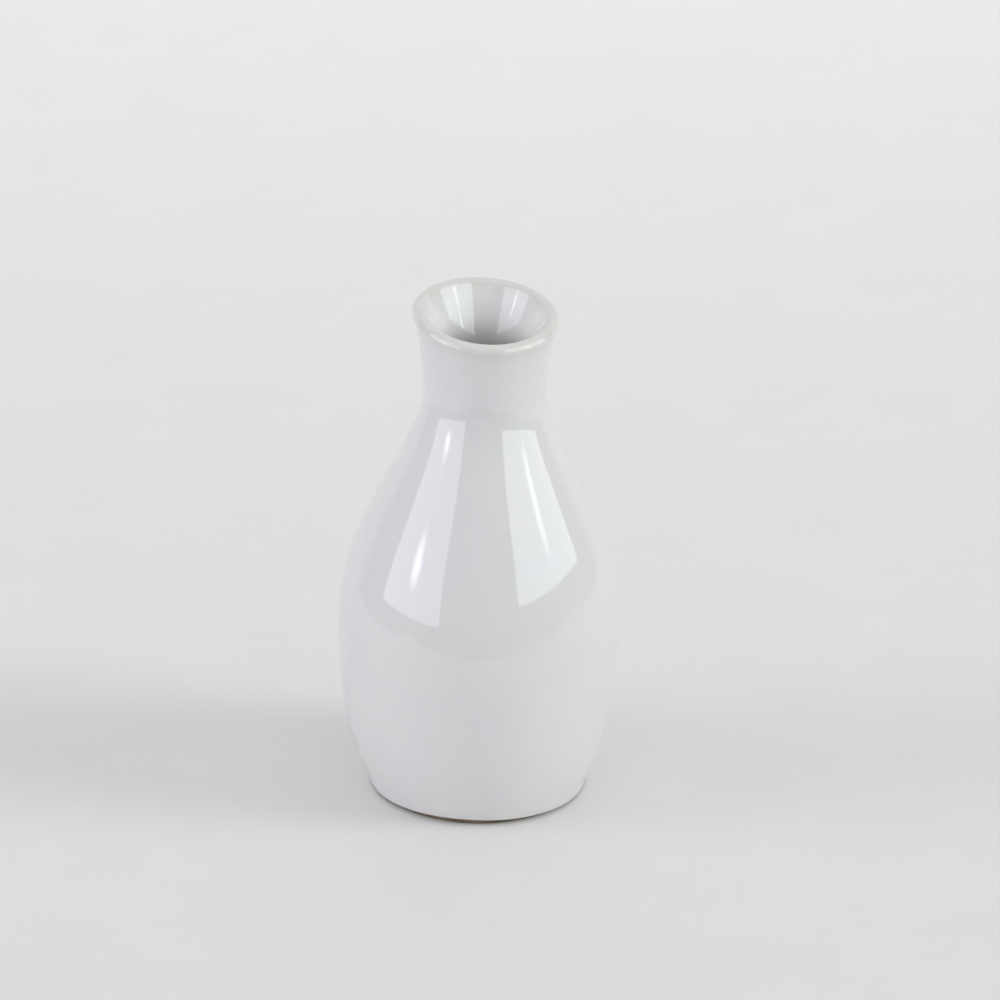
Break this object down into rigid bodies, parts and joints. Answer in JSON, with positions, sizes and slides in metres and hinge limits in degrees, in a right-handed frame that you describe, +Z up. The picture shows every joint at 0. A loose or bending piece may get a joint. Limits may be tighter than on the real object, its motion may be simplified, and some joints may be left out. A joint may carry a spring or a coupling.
{
  "type": "ceramic bud vase",
  "caption": "Small glazed stoneware bud vase: round belly tapering to a narrow neck, flared mouth with a rounded lip, bare clay foot ring.",
  "frame": {"origin": "centre of the foot, on the surface that the vase stands on", "axes": "+Z up the axis the vase is turned on, -Y its front, +X to the right seen from the front"},
  "size_m": [0.0722, 0.0722, 0.1319],
  "materials": {
    "stoneware": "bare fired clay, matt and slightly gritty",
    "white_glaze": "glossy white glaze, thin and a little warmer on the lip",
    "liner_glaze": "glossy white glaze, poured inside",
    "base_glaze": "glossy white glaze, wiped thin"
  },
  "bodies": {
    "root": {"clay_body": "stoneware", "outer_glaze": "white_glaze", "liner_glaze": "liner_glaze", "base_glaze": "base_glaze"}
  },
  "joints": []
}
